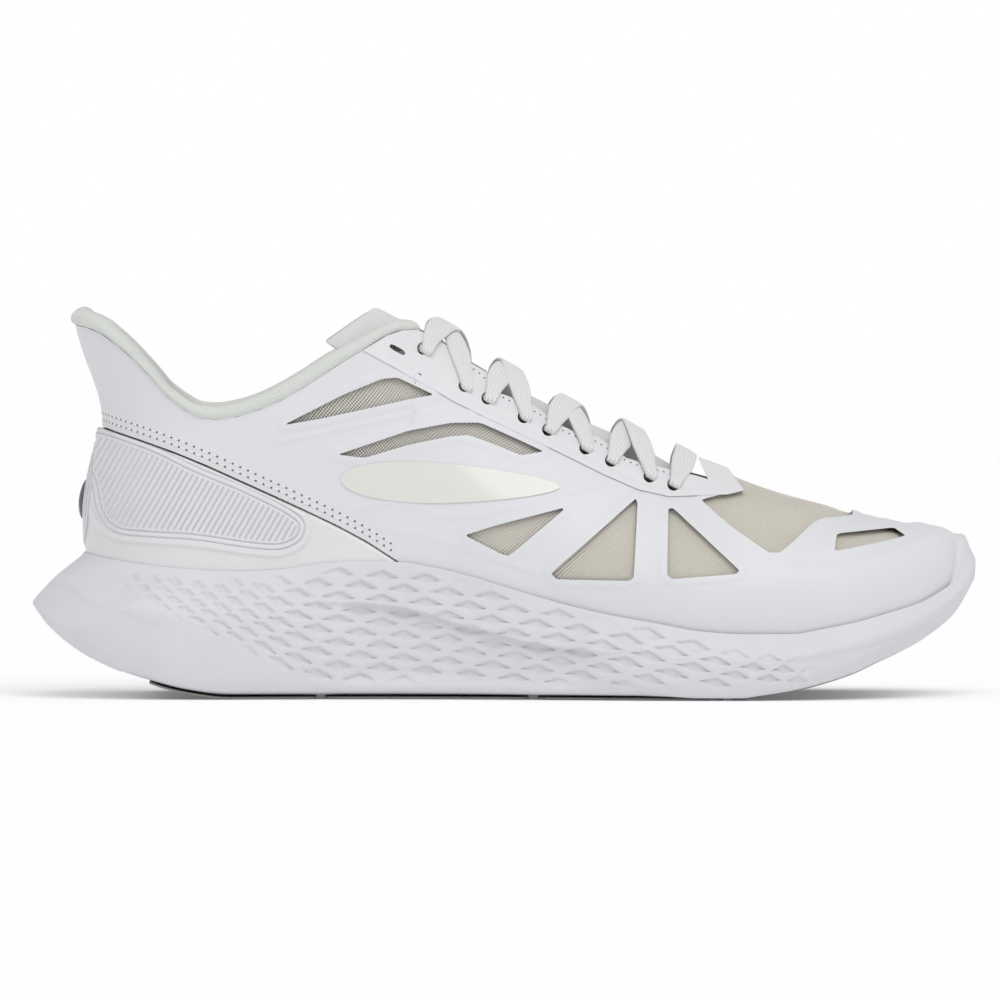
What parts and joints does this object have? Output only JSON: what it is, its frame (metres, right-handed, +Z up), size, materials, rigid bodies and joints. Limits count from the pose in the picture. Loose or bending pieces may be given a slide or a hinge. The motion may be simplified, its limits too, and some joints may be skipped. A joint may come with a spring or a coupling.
{
  "type": "running shoe",
  "caption": "Low-cut lace-up running shoe with sheer mesh windows, a moulded heel clip, a padded collar and a rockered foam sole, for the right foot.",
  "frame": {"origin": "middle of the bounding box's base, on the ground", "axes": "+X from heel to toe, +Y to the inner side of the foot, +Z up"},
  "size_m": [0.3023, 0.1102, 0.1253],
  "materials": {
    "foam": "matt foamed EVA",
    "outsole_rubber": "matt",
    "fused_film": "smooth satin film over textile",
    "sheer_mesh": "open net",
    "synthetic_leather": "smooth coated",
    "gloss_film": "glossy",
    "lace_fabric": "flat weave",
    "aglet_plastic": "clear shrunk film",
    "moulded_tpu": "moulded, satin",
    "board": "fibre board",
    "lining_cloth": "brushed textile",
    "collar_knit": "knit over foam",
    "tongue_cloth": "textile over foam",
    "reflective_tape": "retro-reflective"
  },
  "bodies": {
    "shoe": {"aglet_lateral": "aglet_plastic", "aglet_medial": "aglet_plastic", "collar": "collar_knit", "eyestay_lateral": "synthetic_leather", "eyestay_medial": "synthetic_leather", "heel_clip": "moulded_tpu", "heel_counter": "board", "lace_run": "lace_fabric", "lace_tail_lateral": "lace_fabric", "lace_tail_medial": "lace_fabric", "lining": "lining_cloth", "mesh_lateral": "sheer_mesh", "mesh_medial": "sheer_mesh", "mesh_vamp": "sheer_mesh", "midsole": "foam", "outsole_ball_lateral": "outsole_rubber", "outsole_ball_medial": "outsole_rubber", "outsole_heel_lateral": "outsole_rubber", "outsole_heel_medial": "outsole_rubber", "outsole_toe_lateral": "outsole_rubber", "outsole_toe_medial": "outsole_rubber", "outsole_waist_lateral": "outsole_rubber", "quarter_skin_lateral": "fused_film", "quarter_skin_medial": "fused_film", "reflective_tab": "reflective_tape", "side_patch_lateral": "gloss_film", "side_patch_medial": "gloss_film", "strobel_board": "board", "toe_puff": "board", "toe_skin": "fused_film"},
    "tongue": {"tongue": "tongue_cloth"},
    "sockliner": {"sockliner": "lining_cloth"}
  },
  "joints": [
    {"name": "tongue_hinge", "type": "hinge", "parent": "shoe", "child": "tongue", "pos_m": [0.0625, 0, 0.0672], "axis": [0, 1, 0], "range_deg": [-8, 0], "stiffness_Nm_per_rad": 0.35, "springref_deg": 5.73},
    {"name": "sockliner_lift", "type": "hinge", "parent": "shoe", "child": "sockliner", "pos_m": [0.137, 0.005, 0.0275], "axis": [0, 1, 0], "range_deg": [0, 4], "deforming": ["lace_tail_lateral", "lace_tail_medial", "aglet_lateral", "aglet_medial"]}
  ]
}
